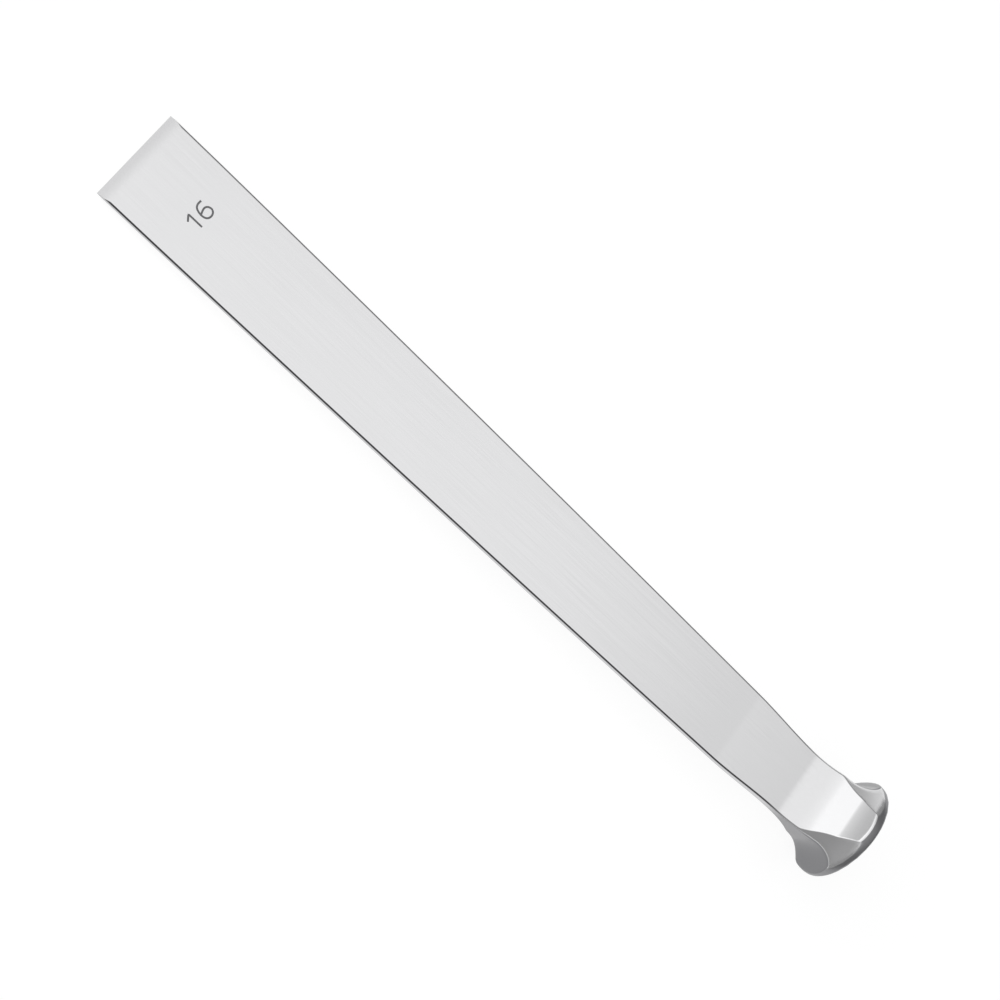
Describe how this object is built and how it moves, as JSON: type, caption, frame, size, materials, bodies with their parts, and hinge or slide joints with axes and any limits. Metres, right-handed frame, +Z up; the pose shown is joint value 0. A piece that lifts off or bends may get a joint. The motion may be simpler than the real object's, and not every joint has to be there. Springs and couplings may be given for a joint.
{
  "type": "osteotome",
  "caption": "Straight osteotome: a flat, gently tapering steel blade with a bevelled cutting edge and a flared mushroom head to strike.",
  "frame": {"origin": "middle of the bounding box at the surface that the tool lies on, as it comes to rest there on its blade and on the foot of its rim", "axes": "+X runs along the tool from the cutting edge to the striking face, +Y across the blade, +Z up; the tool's own axis climbs from +X towards +Z by about 3.3 degrees, because the head is thicker than the blade"},
  "size_m": [0.1542, 0.0186, 0.0186],
  "materials": {
    "blade_steel": "satin stainless instrument steel, finely ground along the blade"
  },
  "bodies": {
    "root": {"osteotome": "blade_steel"}
  },
  "joints": []
}
